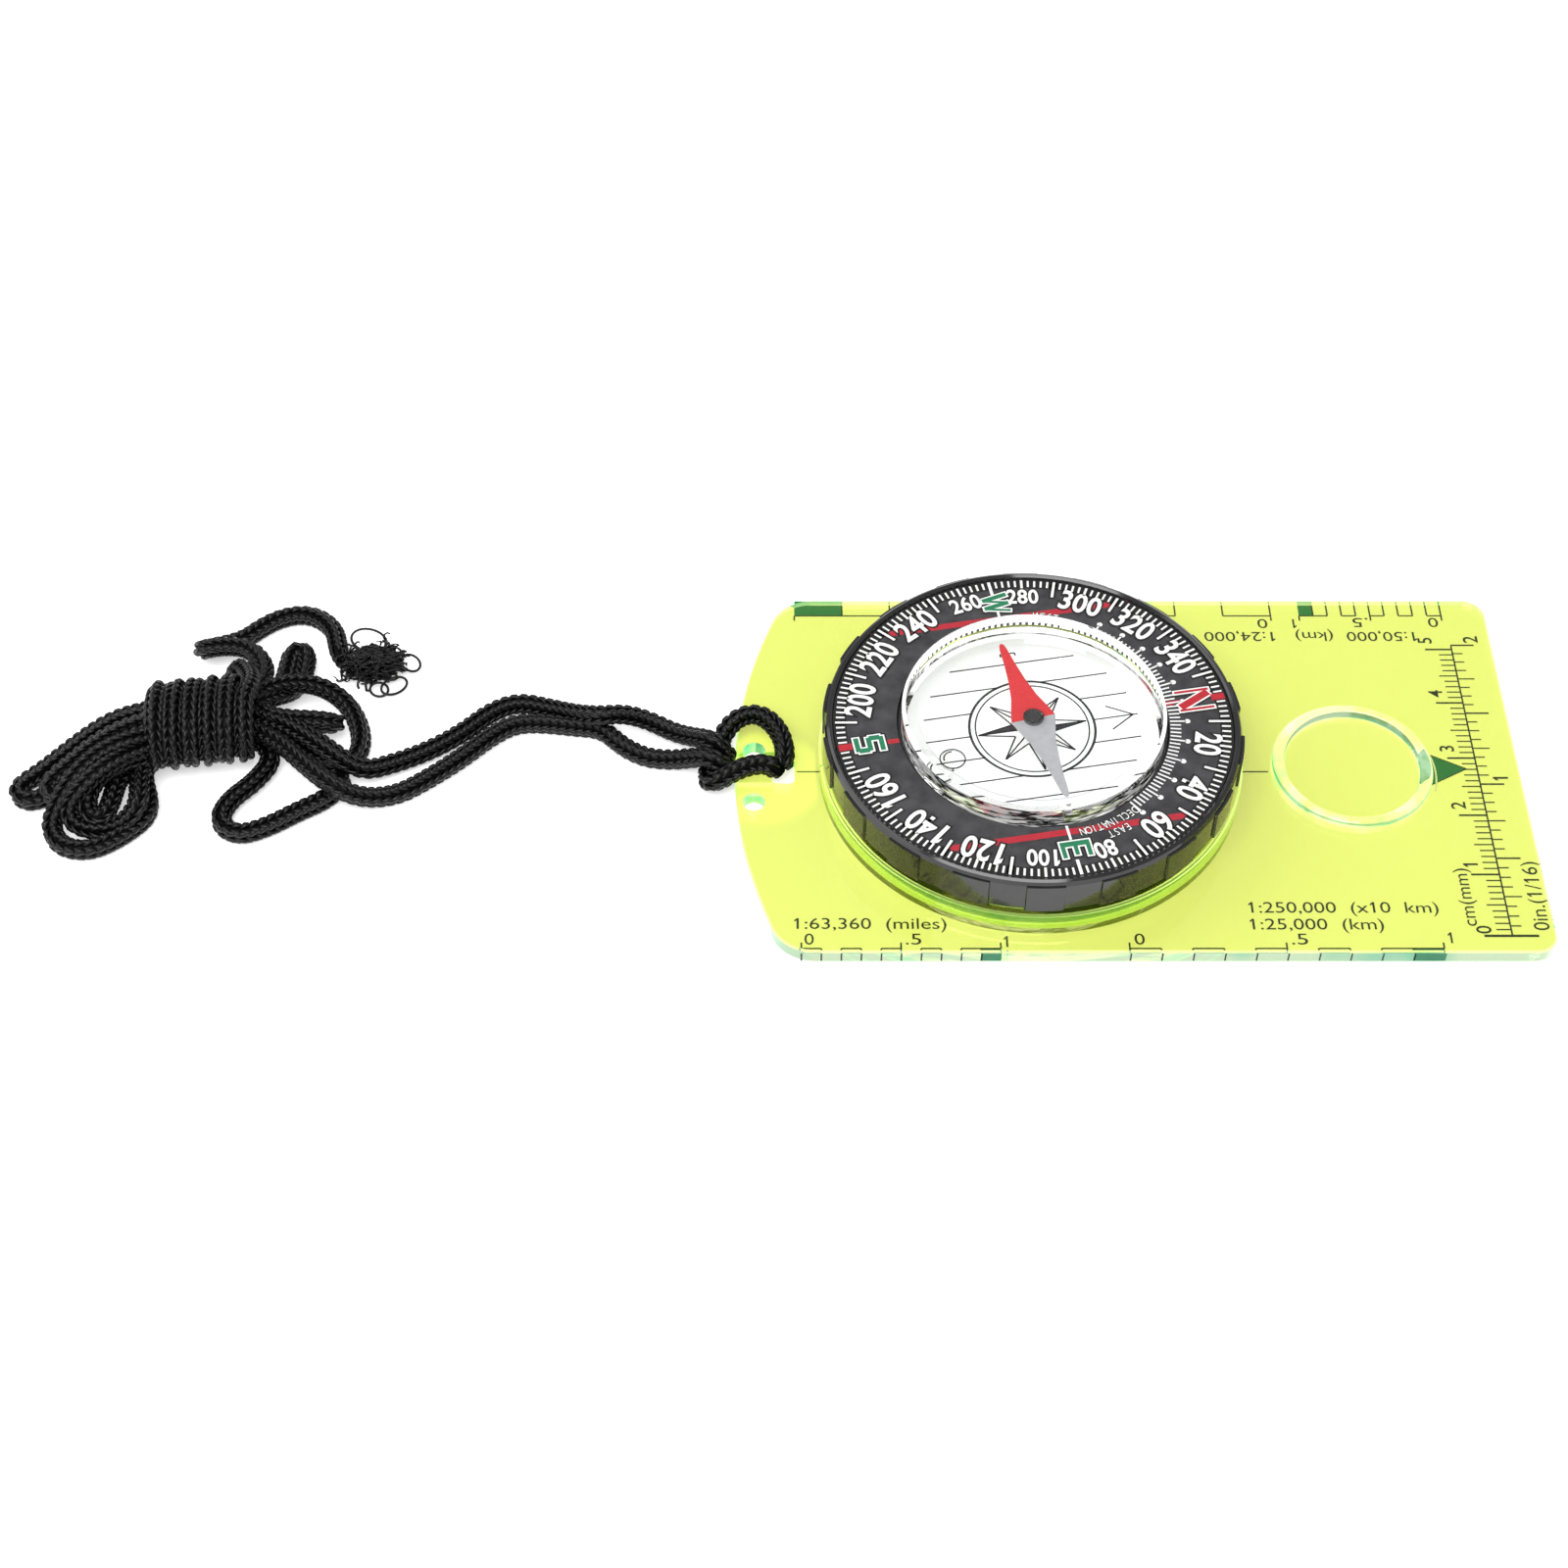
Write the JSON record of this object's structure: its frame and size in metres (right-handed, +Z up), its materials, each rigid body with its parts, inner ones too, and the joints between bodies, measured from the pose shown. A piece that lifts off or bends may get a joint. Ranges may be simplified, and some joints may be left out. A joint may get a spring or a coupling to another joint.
{
  "type": "baseplate compass",
  "caption": "Clear baseplate compass with rotating bezel, liquid capsule, free needle, magnifier, map scales and a neck cord.",
  "frame": {"origin": "middle of the baseplate's underside", "axes": "+X in the direction of travel, +Y to the left of travel, +Z up out of the plate"},
  "size_m": [0.2021, 0.062, 0.0138],
  "materials": {
    "plate_acrylic": "clear fluorescent yellow-green acrylic, polished",
    "bezel_plastic": "black, glossy",
    "dial_print": "dark matte print",
    "capsule_clear": "clear, polished",
    "seal_rubber": "black",
    "plug_plastic": "translucent white",
    "steel": "hardened, polished tip",
    "needle_paint": "red north half, silver south half",
    "hub_plastic": "black",
    "jewel": "polished",
    "nylon": "natural",
    "cord": "black knitted polyester"
  },
  "bodies": {
    "plate": {"baseplate": "plate_acrylic", "bezel_glide_ring": "nylon", "lanyard_bight": "cord", "lanyard_hitch": "cord", "lanyard_leg_a": "cord", "lanyard_leg_b": "cord", "lanyard_big_loop": "cord", "lanyard_small_loop": "cord", "lanyard_low_loop": "cord", "lanyard_high_loop": "cord", "lanyard_hank": "cord", "lanyard_wrap": "cord", "lanyard_tassel": "cord"},
    "bezel": {"bezel_ring": "bezel_plastic", "dial_ring": "dial_print", "capsule_body": "capsule_clear", "capsule_window": "capsule_clear", "capsule_seal_ring": "seal_rubber", "fill_plug": "plug_plastic", "pivot_pin": "steel"},
    "needle": {"needle_blade": "needle_paint", "needle_hub": "hub_plastic", "jewel_bearing": "jewel"}
  },
  "joints": [
    {"name": "bezel_turn", "type": "hinge", "parent": "plate", "child": "bezel", "pos_m": [-0.0132, 0, 0.008], "axis": [0, 0, 1], "continuous": true},
    {"name": "needle_swing", "type": "hinge", "parent": "bezel", "child": "needle", "pos_m": [-0.0132, 0, 0.01], "axis": [0, 0, 1], "continuous": true}
  ]
}
